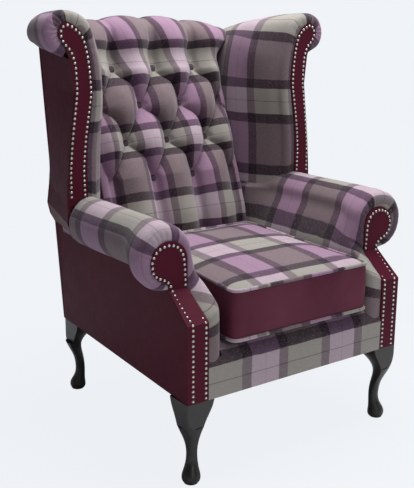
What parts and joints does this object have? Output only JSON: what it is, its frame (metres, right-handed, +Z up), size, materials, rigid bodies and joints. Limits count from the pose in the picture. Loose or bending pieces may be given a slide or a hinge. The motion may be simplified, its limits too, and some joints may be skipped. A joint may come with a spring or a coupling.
{
  "type": "fireside wing chair",
  "caption": "High-back wing armchair with a deep-buttoned plaid back, scrolled arms and wings, leather facings and outsides, a loose box cushion and dark cabriole legs.",
  "frame": {"origin": "on the floor, under the middle of the chair's overall box", "axes": "+Z up; the sitter looks along -Y; +X is the chair's right-hand side as seen from the front"},
  "size_m": [0.898, 0.829, 1.091],
  "materials": {
    "plaid": "woven wool plaid",
    "leather": "smooth satin burgundy",
    "dark_wood": "dark stain, satin lacquer",
    "frame_wood": "plain sawn beech",
    "webbing": "woven strap",
    "deck_cloth": "plain cloth over felt",
    "black_cloth": "thin black cloth",
    "steel": "zinc plated"
  },
  "bodies": {
    "chair": {"arm_core_left": "frame_wood", "arm_core_right": "frame_wood", "arm_facing_left": "leather", "arm_facing_right": "leather", "arm_pad_left": "plaid", "arm_pad_right": "plaid", "arm_post_left": "frame_wood", "arm_post_right": "frame_wood", "back_buttons": "plaid", "back_low_rail": "frame_wood", "back_post_left": "frame_wood", "back_post_right": "frame_wood", "back_top_rail": "frame_wood", "back_webbing": "webbing", "corner_blocks": "frame_wood", "dust_cover": "black_cloth", "front_border": "plaid", "front_rail": "frame_wood", "leg_bolts": "steel", "leg_front_left": "dark_wood", "leg_front_right": "dark_wood", "leg_rear_left": "dark_wood", "leg_rear_right": "dark_wood", "outside_arm_left": "leather", "outside_arm_right": "leather", "outside_back": "leather", "outside_wing_left": "leather", "outside_wing_right": "leather", "rear_rail": "frame_wood", "seat_deck": "deck_cloth", "seat_webbing": "webbing", "side_rail_left": "frame_wood", "side_rail_right": "frame_wood", "tufted_back": "plaid", "wing_facing_left": "leather", "wing_facing_right": "leather", "wing_pad_left": "plaid", "wing_pad_right": "plaid", "wing_post_left": "frame_wood", "wing_post_right": "frame_wood", "wing_rail_left": "frame_wood", "wing_rail_right": "frame_wood"},
    "seat_cushion": {"cushion_border": "leather", "cushion_pad": "plaid", "cushion_piping_high": "plaid", "cushion_piping_low": "plaid"}
  },
  "joints": [
    {"name": "cushion_lift", "type": "slide", "parent": "chair", "child": "seat_cushion", "axis": [0, 0, 1], "range_m": [0, 0.25]}
  ]
}
